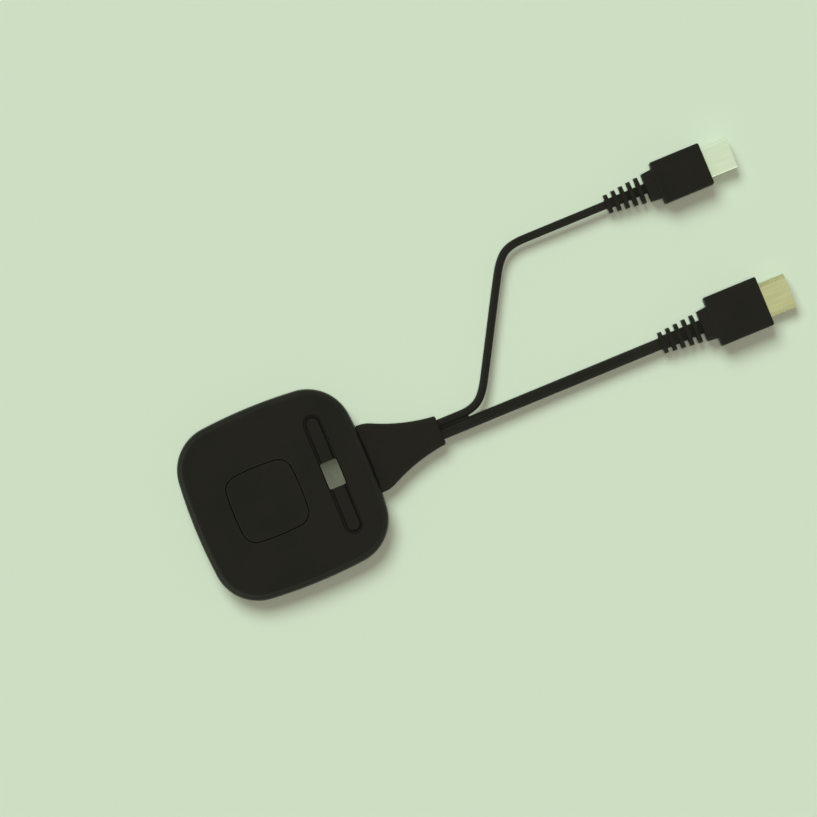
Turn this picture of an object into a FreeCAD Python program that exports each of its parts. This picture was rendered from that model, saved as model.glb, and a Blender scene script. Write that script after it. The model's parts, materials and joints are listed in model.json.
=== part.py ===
import FreeCAD, Part
import math
import os
import Sketcher
from FreeCAD import Vector

# Wireless screen sharing dongle: a low square puck with a push button and an indicator bar,
# a moulded boot, and two short cables, one with a video plug and one with a USB plug.
# Millimetres. The origin is at the puck's centre on the table, +Z up, +X towards the plugs.

SIZES = {
    # Case: a rounded square of bulged sides
    "case_half": 36.45,
    "case_side_arc": 200.0,
    "case_corner_arc": 17.9,
    "case_top": 12.0,
    "case_lift": 0.8,
    "case_wall": 1.8,
    "top_round": 3.2,
    "bottom_round": 1.5,
    "parting_height": 5.8,
    "parting_bevel": 0.25,
    "tongue_thickness": 0.8,
    "tongue_height": 1.0,
    "fit_gap": 0.1,
    # Screws and feet
    "screw_inset": 12.45,
    "screw_radius": 1.0,
    "screw_length": 6.0,
    "screw_head_radius": 1.9,
    "screw_head_height": 1.3,
    "screw_seat_height": 3.2,
    "screw_tip_room": 0.5,
    "boss_radius": 2.9,
    "foot_radius": 4.6,
    "foot_recess": 0.7,
    # Share button
    "button_bar_spacing": 27.45,
    "button_half": 13.9,
    "button_side_arc": 95.0,
    "button_corner_arc": 5.6,
    "button_gap": 0.15,
    "button_opening_round": 0.55,
    "button_plate": 1.4,
    "button_skirt": 1.7,
    "button_lip": 1.1,
    "button_travel": 0.6,
    "button_stop_gap": 0.05,
    "button_stem_radius": 2.4,
    "button_edge_round": 0.55,
    # Indicator bar and its light window
    "bar_inset": 15.35,
    "bar_length": 48.7,
    "bar_width": 6.9,
    "bar_depth": 2.0,
    "bar_groove": 0.5,
    "bar_groove_depth": 0.9,
    "bar_face_bevel": 0.7,
    "bar_slot_bevel": 0.45,
    "bar_bed": 1.6,
    "window_length": 10.6,
    "window_corner": 0.8,
    "guide_width": 5.2,
    "guide_length": 9.0,
    "guide_led_gap": 0.3,
    "slip_gap": 0.05,
    # Circuit board and what it carries
    "board_height": 4.2,
    "board_thickness": 1.2,
    "board_gap": 0.6,
    "switch_side": 6.2,
    "switch_corner": 0.5,
    "switch_height": 3.4,
    "plunger_radius": 1.7,
    "plunger_depth": 1.6,
    "plunger_stand": 1.0,
    "led_height": 0.8,
    # Cable boot
    "boot_height": 5.8,
    "boot_length": 29.6,
    "boot_neck": 0.4,
    "boot_root_half": 13.9,
    "boot_tip_half": 5.85,
    "boot_thickness": 6.2,
    "boot_shoulder_arc": 12.0,
    "boot_flare_arc": 70.0,
    "boot_edge_round": 2.2,
    "boot_tip_bevel": 0.4,
    "boot_lug": 1.3,
    "boot_lug_thickness": 1.6,
    "boot_lug_gap": 0.65,
    "cable_seat": 3.0,
    # Video cable, strain relief and plug
    "video_cable_radius": 2.3,
    "video_axis_place": -1.65,
    "video_axis_height": 5.4,
    "video_relief_start": 157.7,
    "video_relief_length": 17.5,
    "video_relief_radius": 2.75,
    "video_rib_pitch": 3.43,
    "video_rib_first": 8.6,
    "video_rib_last": 11.4,
    "video_collar_length": 4.3,
    "video_collar_back": 12.2,
    "video_collar_front": 13.1,
    "video_body_length": 21.8,
    "video_body_width": 20.0,
    "video_body_thickness": 10.8,
    "video_shell_width": 13.9,
    "video_shell_thickness": 4.45,
    "video_shell_bevel": 1.6,
    "video_shell_reach": 10.8,
    # USB cable, strain relief and plug
    "usb_cable_radius": 1.6,
    "usb_exit_place": 2.6,
    "usb_axis_place": 56.25,
    "usb_axis_height": 5.4,
    "usb_relief_start": 158.65,
    "usb_relief_length": 17.0,
    "usb_relief_radius": 2.0,
    "usb_rib_pitch": 3.33,
    "usb_rib_first": 7.5,
    "usb_rib_last": 10.6,
    "usb_collar_length": 4.65,
    "usb_collar_back": 11.2,
    "usb_collar_front": 12.1,
    "usb_body_length": 20.45,
    "usb_body_width": 17.0,
    "usb_body_thickness": 10.8,
    "usb_shell_width": 12.0,
    "usb_shell_thickness": 4.5,
    "usb_shell_corner": 0.5,
    "usb_shell_reach": 10.85,
    # Both plugs
    "rib_count": 5,
    "rib_thickness": 1.6,
    "rib_setback": 0.3,
    "rib_flattening": 2.4,
    "plug_edge_round": 1.1,
    "collar_edge_round": 1.75,
    "plug_end_bevel": 0.4,
    "collar_step": 0.6,
    "shell_wall": 0.35,
    "shell_seat": 3.0,
}

doc = FreeCAD.newDocument("screen_sharing_dongle")
sheet = doc.addObject("Spreadsheet::Sheet", "sizes")


class Size:
    """A length of the sheet, or a sum or product of such lengths, as a number and as an expression."""

    def __init__(self, number, text):
        self.number = number
        self.text = text

    def __add__(self, other):
        other = as_size(other)
        return Size(self.number + other.number, "(%s + %s)" % (self.text, other.text))

    def __sub__(self, other):
        other = as_size(other)
        return Size(self.number - other.number, "(%s - %s)" % (self.text, other.text))

    def __mul__(self, other):
        other = as_size(other)
        return Size(self.number * other.number, "(%s * %s)" % (self.text, other.text))

    def __truediv__(self, other):
        other = as_size(other)
        return Size(self.number / other.number, "(%s / %s)" % (self.text, other.text))

    def __neg__(self):
        return self * -1.0

    def __radd__(self, other):
        return as_size(other) + self

    def __rsub__(self, other):
        return as_size(other) - self

    def __rmul__(self, other):
        return as_size(other) * self


def as_size(value):
    if isinstance(value, Size):
        return value
    return Size(float(value), "(%.6f)" % value)


class SizeBook:
    """The driving sizes by name."""


size = SizeBook()
for row, (name, value) in enumerate(SIZES.items(), start=1):
    sheet.set("A%d" % row, name)
    sheet.set("B%d" % row, str(value))
    sheet.setAlias("B%d" % row, name)
    setattr(size, name, Size(float(value), "sizes.%s" % name))
doc.recompute()

# Heights and places that several pieces share
case_bottom = size.case_lift
case_floor = size.case_lift + size.case_wall
case_ceiling = size.case_top - size.case_wall
board_top = size.board_height + size.board_thickness
screw_place = size.case_half - size.screw_inset
SCREW_CORNERS = {"near_left": (-1, -1), "near_right": (1, -1), "far_right": (1, 1), "far_left": (-1, 1)}
bar_place = size.case_half - size.bar_inset
bar_floor = size.case_top - size.bar_depth
window_half = size.window_length / 2
button_place = bar_place - size.button_bar_spacing
boot_reach = size.case_half + size.boot_length
lug_back = size.case_half - size.case_wall - size.boot_lug_gap - size.boot_lug_thickness
video_body_start = size.video_relief_start + size.video_relief_length + size.video_collar_length
usb_body_start = size.usb_relief_start + size.usb_relief_length + size.usb_collar_length

nodes = []

# How far a cut or an outline runs past what it has to clear
CUT_MARGIN = 1.0


# Helpers for sketches and features

def bind(item, prop, value):
    item.setExpression(prop, as_size(value).text)


def bind_place(item, x, y, z):
    bind(item, "Placement.Base.x", x)
    bind(item, "Placement.Base.y", y)
    bind(item, "Placement.Base.z", z)


def keep(item, label):
    item.Label = label
    nodes.append(item)
    return item


def new_body(label):
    return keep(doc.addObject("PartDesign::Body", label + "_body"), label)


def new_sketch(body, name, plane, x=0, y=0, z=0):
    """A sketch whose own origin lies at x, y, z on a plane through it, parallel to a base plane."""
    sketch = body.newObject("Sketcher::SketchObject", body.Label + "_" + name)
    for feature in body.Origin.OriginFeatures:
        if feature.Role == plane:
            sketch.AttachmentSupport = [(feature, "")]
    sketch.MapMode = "FlatFace"
    local = {"XY_Plane": (x, y, z), "YZ_Plane": (y, z, x), "XZ_Plane": (x, z, -as_size(y))}[plane]
    for axis, value in zip("xyz", local):
        bind(sketch, "AttachmentOffset.Base." + axis, value)
    return sketch


def dimension(sketch, value, kind, *where):
    value = as_size(value)
    index = sketch.addConstraint(Sketcher.Constraint(kind, *where, value.number))
    sketch.setExpression("Constraints[%d]" % index, value.text)


def relate(sketch, kind, *where):
    sketch.addConstraint(Sketcher.Constraint(kind, *where))


ROOT = (-1, 1)
START, END, CENTRE = range(1, 4)


def line(sketch, start, end):
    return sketch.addGeometry(Part.LineSegment(Vector(*start, 0), Vector(*end, 0)), False)


def arc(sketch, centre, radius, start_angle, end_angle):
    circle = Part.Circle(Vector(*centre, 0), Vector(0, 0, 1), radius)
    return sketch.addGeometry(Part.ArcOfCircle(circle, start_angle, end_angle), False)


def draw_circle(sketch, radius, x=0, y=0):
    x, y = as_size(x), as_size(y)
    circle = Part.Circle(Vector(x.number, y.number, 0), Vector(0, 0, 1), as_size(radius).number)
    ring = sketch.addGeometry(circle, False)
    dimension(sketch, radius, "Radius", ring)
    dimension(sketch, x, "DistanceX", *ROOT, ring, CENTRE)
    dimension(sketch, y, "DistanceY", *ROOT, ring, CENTRE)


def draw_polygon(sketch, points):
    """A closed outline of straight lines through points given as pairs of sizes."""
    points = [(as_size(x), as_size(y)) for x, y in points]
    lines = []
    for (x, y), (next_x, next_y) in zip(points, points[1:] + points[:1]):
        lines.append(line(sketch, (x.number, y.number), (next_x.number, next_y.number)))
    for here, following in zip(lines, lines[1:] + lines[:1]):
        relate(sketch, "Coincident", here, END, following, START)
    for edge, (x, y) in zip(lines, points):
        dimension(sketch, x, "DistanceX", *ROOT, edge, START)
        dimension(sketch, y, "DistanceY", *ROOT, edge, START)


def draw_rectangle(sketch, low_x, high_x, low_y, high_y):
    draw_polygon(sketch, [(low_x, low_y), (high_x, low_y), (high_x, high_y), (low_x, high_y)])


def draw_rounded(sketch, width, height, radius):
    """A rectangle with four equal round corners, centred on the sketch's origin."""
    width, height, radius = as_size(width), as_size(height), as_size(radius)
    flat_x = width.number / 2 - radius.number
    flat_y = height.number / 2 - radius.number
    high_x = width.number / 2
    high_y = height.number / 2
    right = line(sketch, (high_x, -flat_y), (high_x, flat_y))
    upper = line(sketch, (flat_x, high_y), (-flat_x, high_y))
    left = line(sketch, (-high_x, flat_y), (-high_x, -flat_y))
    lower = line(sketch, (-flat_x, -high_y), (flat_x, -high_y))
    corners = []
    for quarter, (sign_x, sign_y) in enumerate([(1, 1), (-1, 1), (-1, -1), (1, -1)]):
        turn = quarter * math.pi / 2
        centre = (sign_x * flat_x, sign_y * flat_y)
        corners.append(arc(sketch, centre, radius.number, turn, turn + math.pi / 2))
    following = [upper, left, lower, right]
    for before, corner, after in zip([right, upper, left, lower], corners, following):
        relate(sketch, "Tangent", before, END, corner, START)
        relate(sketch, "Tangent", corner, END, after, START)
    for corner in corners[1:]:
        relate(sketch, "Equal", corners[0], corner)
    for edge in (upper, lower):
        relate(sketch, "Horizontal", edge)
    for edge in (right, left):
        relate(sketch, "Vertical", edge)
    relate(sketch, "Symmetric", corners[0], CENTRE, corners[2], CENTRE, *ROOT)
    dimension(sketch, radius, "Radius", corners[0])
    dimension(sketch, width, "DistanceX", left, START, right, START)
    dimension(sketch, height, "DistanceY", lower, START, upper, START)


def draw_stadium(sketch, length, width):
    """A long slot outline with half-round ends, its long side along the sketch's Y axis."""
    length, width = as_size(length), as_size(width)
    radius = width / 2
    straight = length / 2 - radius
    edge_x = radius.number
    edge_y = straight.number
    right = line(sketch, (edge_x, -edge_y), (edge_x, edge_y))
    upper = arc(sketch, (0, edge_y), edge_x, 0, math.pi)
    left = line(sketch, (-edge_x, edge_y), (-edge_x, -edge_y))
    lower = arc(sketch, (0, -edge_y), edge_x, math.pi, 2 * math.pi)
    loop = [right, upper, left, lower]
    for here, following in zip(loop, loop[1:] + loop[:1]):
        relate(sketch, "Tangent", here, END, following, START)
    relate(sketch, "Equal", upper, lower)
    dimension(sketch, radius, "Radius", upper)
    dimension(sketch, 0, "DistanceX", *ROOT, upper, CENTRE)
    dimension(sketch, straight, "DistanceY", *ROOT, upper, CENTRE)
    dimension(sketch, 0, "DistanceX", *ROOT, lower, CENTRE)
    dimension(sketch, -straight, "DistanceY", *ROOT, lower, CENTRE)


def draw_cushion_square(sketch, half, side_radius, corner_radius):
    """A square of four bulged sides and four round corners, all tangent, centred on the origin."""
    half, side_radius = as_size(half), as_size(side_radius)
    corner_radius = as_size(corner_radius)
    centre_shift = side_radius - half
    shift = centre_shift.number
    reach = side_radius.number - corner_radius.number
    corner = (math.sqrt(2 * reach ** 2 - shift ** 2) - shift) / 2
    lean = math.atan2(corner, corner + shift)
    sides = []
    corners = []
    for quarter in range(4):
        turn = quarter * math.pi / 2
        back = (-shift * math.cos(turn), -shift * math.sin(turn))
        sides.append(arc(sketch, back, side_radius.number, turn - lean, turn + lean))
    for quarter in range(4):
        turn = quarter * math.pi / 2
        spread = corner * math.sqrt(2)
        place = (spread * math.cos(turn + math.pi / 4), spread * math.sin(turn + math.pi / 4))
        start, end = turn + lean, turn + math.pi / 2 - lean
        corners.append(arc(sketch, place, corner_radius.number, start, end))
    for quarter in range(4):
        relate(sketch, "Tangent", sides[quarter], END, corners[quarter], START)
        relate(sketch, "Tangent", corners[quarter], END, sides[(quarter + 1) % 4], START)
    for item in sides[1:]:
        relate(sketch, "Equal", sides[0], item)
    for item in corners[1:]:
        relate(sketch, "Equal", corners[0], item)
    dimension(sketch, side_radius, "Radius", sides[0])
    dimension(sketch, corner_radius, "Radius", corners[0])
    for side, (sign_x, sign_y) in zip(sides, [(-1, 0), (0, -1), (1, 0), (0, 1)]):
        dimension(sketch, centre_shift * sign_x, "DistanceX", *ROOT, side, CENTRE)
        dimension(sketch, centre_shift * sign_y, "DistanceY", *ROOT, side, CENTRE)


def draw_case_outline(sketch, inset):
    inset = as_size(inset)
    draw_cushion_square(sketch, size.case_half - inset, size.case_side_arc - inset,
                        size.case_corner_arc - inset)


def draw_button_outline(sketch, outset):
    outset = as_size(outset)
    draw_cushion_square(sketch, size.button_half + outset, size.button_side_arc + outset,
                        size.button_corner_arc + outset)


def pad(body, sketch, length, reverse=False):
    feature = body.newObject("PartDesign::Pad", sketch.Name + "_pad")
    feature.Profile = sketch
    feature.Reversed = reverse
    bind(feature, "Length", length)
    sketch.Visibility = False
    return feature


def cut(body, sketch, length, reverse=False):
    """A pocket against the sketch's normal, or along it when reversed, that must remove something."""
    doc.recompute()
    before = body.Shape.Volume
    feature = body.newObject("PartDesign::Pocket", sketch.Name + "_cut")
    feature.Profile = sketch
    feature.Reversed = reverse
    bind(feature, "Length", length)
    sketch.Visibility = False
    doc.recompute()
    if body.Shape.Volume > before - 1e-6:
        raise RuntimeError("nothing was cut by " + feature.Name)
    return feature


def dress_edges(body, kind, measure, value, wanted):
    """A fillet or chamfer on the edges of the body's last feature that the test picks."""
    doc.recompute()
    base = body.Tip
    names = []
    for number, edge in enumerate(base.Shape.Edges, start=1):
        if wanted(edge):
            names.append("Edge%d" % number)
    feature = body.newObject("PartDesign::" + kind, "%s_%s" % (body.Label, kind.lower()))
    feature.Base = (base, names)
    bind(feature, measure, value)


def round_edges(body, radius, wanted):
    dress_edges(body, "Fillet", "Radius", radius, wanted)


def bevel_edges(body, width, wanted):
    dress_edges(body, "Chamfer", "Size", width, wanted)


def lies_at(value, axis):
    """A test for edges that lie wholly in the plane where the axis has this value."""
    number = as_size(value).number

    def test(edge):
        box = edge.BoundBox
        low = {"x": box.XMin, "y": box.YMin, "z": box.ZMin}[axis]
        high = {"x": box.XMax, "y": box.YMax, "z": box.ZMax}[axis]
        return abs(low - number) < 0.01 and abs(high - number) < 0.01

    return test


def is_opening_rim(centre_x, half_width):
    """A test for the edges of the case's top that lie within a distance of centre_x."""
    low = as_size(centre_x - half_width).number
    high = as_size(centre_x + half_width).number
    at_top = lies_at(size.case_top, "z")

    def test(edge):
        return at_top(edge) and edge.BoundBox.XMin > low and edge.BoundBox.XMax < high

    return test


def box(label, centre_x, centre_y, low_z, length, width, height):
    """A plain block, centred in plan, standing on low_z."""
    item = doc.addObject("Part::Box", label + "_block")
    bind(item, "Length", length)
    bind(item, "Width", width)
    bind(item, "Height", height)
    bind_place(item, centre_x - as_size(length) / 2, centre_y - as_size(width) / 2, low_z)
    return item


def screw_points():
    return [(screw_place * sign_x, screw_place * sign_y) for sign_x, sign_y in SCREW_CORNERS.values()]


def boot_opening(body):
    """The window in the case's side that the boot's root passes through."""
    doc.recompute()
    sketch = new_sketch(body, "boot_opening", "YZ_Plane", x=size.case_half + CUT_MARGIN,
                        z=size.boot_height)
    clearance = size.fit_gap * 2
    draw_rounded(sketch, size.boot_root_half * 2 + clearance, size.boot_thickness + clearance,
                 size.boot_edge_round + size.fit_gap)
    cut(body, sketch, size.case_wall * 2 + CUT_MARGIN)


# Case

def make_top_cover():
    body = new_body("top_cover")
    sketch = new_sketch(body, "outline", "XY_Plane", z=size.parting_height)
    draw_case_outline(sketch, 0)
    pad(body, sketch, size.case_top - size.parting_height)
    round_edges(body, size.top_round, lies_at(size.case_top, "z"))

    sketch = new_sketch(body, "hollow", "XY_Plane", z=size.parting_height)
    draw_case_outline(sketch, size.case_wall)
    cut(body, sketch, case_ceiling - size.parting_height, reverse=True)
    bevel_edges(body, size.top_round - size.case_wall, lies_at(case_ceiling, "z"))
    sketch = new_sketch(body, "rebate", "XY_Plane", z=size.parting_height)
    draw_case_outline(sketch, size.case_wall - size.tongue_thickness - size.fit_gap)
    cut(body, sketch, size.tongue_height + size.fit_gap, reverse=True)

    sketch = new_sketch(body, "bar_bed", "XY_Plane", x=bar_place, z=bar_floor - size.bar_bed)
    draw_stadium(sketch, size.bar_length + size.case_wall, size.bar_width + size.case_wall)
    pad(body, sketch, size.bar_bed + size.bar_depth - size.case_wall / 2)
    sketch = new_sketch(body, "bosses", "XY_Plane", z=board_top)
    for x, y in screw_points():
        draw_circle(sketch, size.boss_radius, x, y)
    pad(body, sketch, size.case_top - size.case_wall / 2 - board_top)

    sketch = new_sketch(body, "bar_slot", "XY_Plane", x=bar_place, z=size.case_top)
    draw_stadium(sketch, size.bar_length, size.bar_width)
    cut(body, sketch, size.bar_depth)
    sketch = new_sketch(body, "light_well", "XY_Plane", x=bar_place, z=size.case_top)
    clearance = size.fit_gap * 2
    draw_rounded(sketch, size.guide_width + clearance, size.guide_length + clearance, size.fit_gap)
    cut(body, sketch, size.bar_depth + size.bar_bed + CUT_MARGIN)
    sketch = new_sketch(body, "button_opening", "XY_Plane", x=button_place, z=size.case_top)
    draw_button_outline(sketch, size.button_gap)
    cut(body, sketch, size.case_wall + CUT_MARGIN)
    sketch = new_sketch(body, "screw_holes", "XY_Plane", z=board_top)
    for x, y in screw_points():
        draw_circle(sketch, size.screw_radius + size.slip_gap, x, y)
    hole_top = size.screw_seat_height + size.screw_length + size.screw_tip_room
    cut(body, sketch, hole_top - board_top, reverse=True)
    boot_opening(body)
    round_edges(body, size.button_opening_round, is_opening_rim(button_place, size.button_half + CUT_MARGIN))
    bevel_edges(body, size.bar_slot_bevel, is_opening_rim(bar_place, size.bar_width / 2 + CUT_MARGIN))


def make_bottom_cover():
    body = new_body("bottom_cover")
    sketch = new_sketch(body, "outline", "XY_Plane", z=case_bottom)
    draw_case_outline(sketch, 0)
    pad(body, sketch, size.parting_height - case_bottom)
    round_edges(body, size.bottom_round, lies_at(case_bottom, "z"))
    bevel_edges(body, size.parting_bevel, lies_at(size.parting_height, "z"))
    sketch = new_sketch(body, "tongue", "XY_Plane", z=size.parting_height)
    draw_case_outline(sketch, size.case_wall - size.tongue_thickness)
    pad(body, sketch, size.tongue_height)
    sketch = new_sketch(body, "hollow", "XY_Plane", z=size.parting_height + size.tongue_height)
    draw_case_outline(sketch, size.case_wall)
    cut(body, sketch, size.parting_height + size.tongue_height - case_floor)

    sketch = new_sketch(body, "bosses", "XY_Plane", z=case_bottom + size.foot_recess)
    for x, y in screw_points():
        draw_circle(sketch, size.boss_radius, x, y)
    pad(body, sketch, size.board_height - case_bottom - size.foot_recess)
    sketch = new_sketch(body, "foot_recesses", "XY_Plane", z=case_bottom)
    for x, y in screw_points():
        draw_circle(sketch, size.foot_radius + size.fit_gap, x, y)
    cut(body, sketch, size.foot_recess, reverse=True)
    sketch = new_sketch(body, "screw_heads", "XY_Plane", z=case_bottom)
    for x, y in screw_points():
        draw_circle(sketch, size.screw_head_radius + size.fit_gap, x, y)
    cut(body, sketch, size.screw_seat_height - case_bottom, reverse=True)
    sketch = new_sketch(body, "screw_holes", "XY_Plane", z=case_bottom)
    for x, y in screw_points():
        draw_circle(sketch, size.screw_radius + size.fit_gap, x, y)
    cut(body, sketch, size.board_height - case_bottom, reverse=True)
    boot_opening(body)


def make_screw(corner, sign_x, sign_y):
    """A pan-head screw, put in from below."""
    body = new_body("screw_" + corner)
    x, y = screw_place * sign_x, screw_place * sign_y
    sketch = new_sketch(body, "head", "XY_Plane", x=x, y=y, z=size.screw_seat_height)
    draw_circle(sketch, size.screw_head_radius)
    pad(body, sketch, size.screw_head_height, reverse=True)
    bevel_edges(body, size.screw_head_height / 3,
                lies_at(size.screw_seat_height - size.screw_head_height, "z"))
    sketch = new_sketch(body, "shank", "XY_Plane", x=x, y=y, z=size.screw_seat_height)
    draw_circle(sketch, size.screw_radius)
    pad(body, sketch, size.screw_length)


def make_foot(corner, sign_x, sign_y):
    """A rubber disc that fills its recess and hides the screw."""
    body = new_body("foot_" + corner)
    sketch = new_sketch(body, "disc", "XY_Plane", x=screw_place * sign_x, y=screw_place * sign_y)
    draw_circle(sketch, size.foot_radius)
    pad(body, sketch, size.case_lift + size.foot_recess)
    bevel_edges(body, size.case_lift / 2, lies_at(0, "z"))


# Share button and its switch

def make_share_button():
    body = new_body("share_button")
    place = button_place
    lip_top = case_ceiling - size.button_stop_gap
    skirt_bottom = case_ceiling - size.button_skirt
    sketch = new_sketch(body, "cap", "XY_Plane", x=place, z=skirt_bottom)
    draw_button_outline(sketch, 0)
    pad(body, sketch, size.case_top - skirt_bottom)
    round_edges(body, size.button_edge_round, lies_at(size.case_top, "z"))
    sketch = new_sketch(body, "lip", "XY_Plane", x=place, z=lip_top)
    draw_button_outline(sketch, size.button_lip)
    pad(body, sketch, size.button_lip, reverse=True)
    sketch = new_sketch(body, "hollow", "XY_Plane", x=place, z=skirt_bottom)
    draw_button_outline(sketch, -size.button_plate)
    cut(body, sketch, size.case_top - size.button_plate - skirt_bottom, reverse=True)
    sketch = new_sketch(body, "stem", "XY_Plane", x=place, z=plunger_top())
    draw_circle(sketch, size.button_stem_radius)
    pad(body, sketch, size.case_top - size.button_plate / 2 - plunger_top())


def plunger_top():
    return board_top + size.switch_height + size.plunger_stand


def make_switch():
    body = new_body("switch_body")
    sketch = new_sketch(body, "block", "XY_Plane", x=button_place, z=board_top)
    draw_rounded(sketch, size.switch_side, size.switch_side, size.switch_corner)
    pad(body, sketch, size.switch_height)
    sketch = new_sketch(body, "bore", "XY_Plane", x=button_place,
                        z=board_top + size.switch_height)
    draw_circle(sketch, size.plunger_radius + size.slip_gap)
    cut(body, sketch, size.plunger_depth + size.button_travel + size.fit_gap)

    plunger = doc.addObject("Part::Cylinder", "switch_plunger_pin")
    keep(plunger, "switch_plunger")
    bind(plunger, "Radius", size.plunger_radius)
    bind(plunger, "Height", size.plunger_depth + size.plunger_stand)
    bind_place(plunger, button_place, 0, board_top + size.switch_height - size.plunger_depth)


# Indicator bar

def make_inlay(side, sign):
    """Half of the dark bar, on one side of the light window, with a groove round its top."""
    body = new_body("bar_inlay_" + side)
    foot_height = size.bar_depth - size.bar_groove_depth
    fit_length = size.bar_length - size.slip_gap * 2
    fit_width = size.bar_width - size.slip_gap * 2
    sketch = new_sketch(body, "foot", "XY_Plane", x=bar_place, z=bar_floor)
    draw_stadium(sketch, fit_length, fit_width)
    pad(body, sketch, foot_height)
    sketch = new_sketch(body, "face", "XY_Plane", x=bar_place, z=bar_floor + foot_height)
    draw_stadium(sketch, size.bar_length - size.bar_groove * 2, size.bar_width - size.bar_groove * 2)
    pad(body, sketch, size.bar_groove_depth - size.slip_gap)
    bevel_edges(body, size.bar_face_bevel, lies_at(size.case_top - size.slip_gap, "z"))
    sketch = new_sketch(body, "end", "XY_Plane", x=bar_place, z=size.case_top)
    kept_end = (window_half + size.slip_gap) * sign
    far_end = (size.bar_length / 2 + CUT_MARGIN) * -sign
    points = [(-size.bar_width, kept_end), (size.bar_width, kept_end),
              (size.bar_width, far_end), (-size.bar_width, far_end)]
    draw_polygon(sketch, points)
    cut(body, sketch, size.bar_depth + CUT_MARGIN)


def make_window():
    body = new_body("status_window")
    sketch = new_sketch(body, "block", "XY_Plane", x=bar_place, z=bar_floor)
    draw_rounded(sketch, size.bar_width - size.slip_gap * 2, size.window_length, size.window_corner)
    pad(body, sketch, size.bar_depth)
    guide_bottom = board_top + size.led_height + size.guide_led_gap
    keep(box("light_guide", bar_place, 0, guide_bottom, size.guide_width, size.guide_length,
             bar_floor - guide_bottom), "light_guide")


# Circuit board

def make_board():
    body = new_body("main_board")
    sketch = new_sketch(body, "outline", "XY_Plane", z=size.board_height)
    draw_case_outline(sketch, size.case_wall + size.board_gap)
    pad(body, sketch, size.board_thickness)
    sketch = new_sketch(body, "boot_notch", "XY_Plane", z=board_top)
    notch_half = size.boot_root_half + size.boot_lug + size.board_gap
    draw_rectangle(sketch, lug_back - size.board_gap, size.case_half, -notch_half, notch_half)
    cut(body, sketch, size.board_thickness + CUT_MARGIN)
    sketch = new_sketch(body, "screw_holes", "XY_Plane", z=board_top)
    for x, y in screw_points():
        draw_circle(sketch, size.screw_radius + size.fit_gap, x, y)
    cut(body, sketch, size.board_thickness + CUT_MARGIN)


CHIP_LENGTH = {"wireless_module": 18.0, "video_processor": 14.0, "memory_chip": 11.0, "power_module": 9.0}
CHIP_WIDTH = {"wireless_module": 12.0, "video_processor": 14.0, "memory_chip": 9.0, "power_module": 9.0}
CHIP_HEIGHT = {"wireless_module": 2.2, "video_processor": 1.6, "memory_chip": 1.2, "power_module": 2.6}
CHIP_AHEAD = {"wireless_module": 2.4, "video_processor": 2.4, "memory_chip": 16.4, "power_module": 16.4}
FAR_CHIPS = ("wireless_module", "power_module")
CHIP_ROW_INSET = 5.5
ANTENNA_INSET = 3.25
ANTENNA_PLACE = 9.0
ANTENNA_LENGTH = 2.6
ANTENNA_WIDTH = 10.0
ANTENNA_HEIGHT = 1.1
LED_LENGTH = 1.6
LED_WIDTH = 2.8
LEAD_PLACES = {"video": -5.0, "usb": 5.0}
LEAD_RADIUS = {"video": 1.3, "usb": 1.1}
SOCKET_LENGTH = 4.0
SOCKET_WIDTH = 7.0
SOCKET_HEIGHT = 2.8
SOCKET_STAND_OFF = 3.6


def make_board_parts():
    far_row = screw_place - CHIP_ROW_INSET
    for label, ahead in CHIP_AHEAD.items():
        row = far_row if label in FAR_CHIPS else -far_row
        keep(box(label, button_place + ahead, row, board_top,
                 CHIP_LENGTH[label], CHIP_WIDTH[label], CHIP_HEIGHT[label]), label)
    board_edge = size.case_half - size.case_wall - size.board_gap
    for side, sign in (("near", -1), ("far", 1)):
        label = "antenna_" + side
        keep(box(label, ANTENNA_INSET - board_edge, as_size(ANTENNA_PLACE * sign), board_top,
                 ANTENNA_LENGTH, ANTENNA_WIDTH, ANTENNA_HEIGHT), label)
        label = "status_led_" + side
        keep(box(label, bar_place, size.guide_length / 4 * sign, board_top,
                 LED_LENGTH, LED_WIDTH, size.led_height), label)
    for cable, y in LEAD_PLACES.items():
        socket_end = lug_back - SOCKET_STAND_OFF
        label = cable + "_board_socket"
        keep(box(label, socket_end - SOCKET_LENGTH / 2, as_size(y), board_top,
                 SOCKET_LENGTH, SOCKET_WIDTH, SOCKET_HEIGHT), label)
        lead = doc.addObject("Part::Cylinder", cable + "_lead_core")
        keep(lead, cable + "_inner_lead")
        bind(lead, "Radius", LEAD_RADIUS[cable])
        bind(lead, "Height", SOCKET_STAND_OFF)
        lead.Placement = FreeCAD.Placement(Vector(), FreeCAD.Rotation(Vector(0, 1, 0), 90))
        bind_place(lead, socket_end, as_size(y), board_top + SOCKET_HEIGHT / 2)


# Cable boot

# Degrees that the boot's arcs are first drawn with, before their tangents and radii fix them
FIRST_SHOULDER_LEAN = 26.2
FIRST_TIP_LEAN = 6.0


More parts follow.
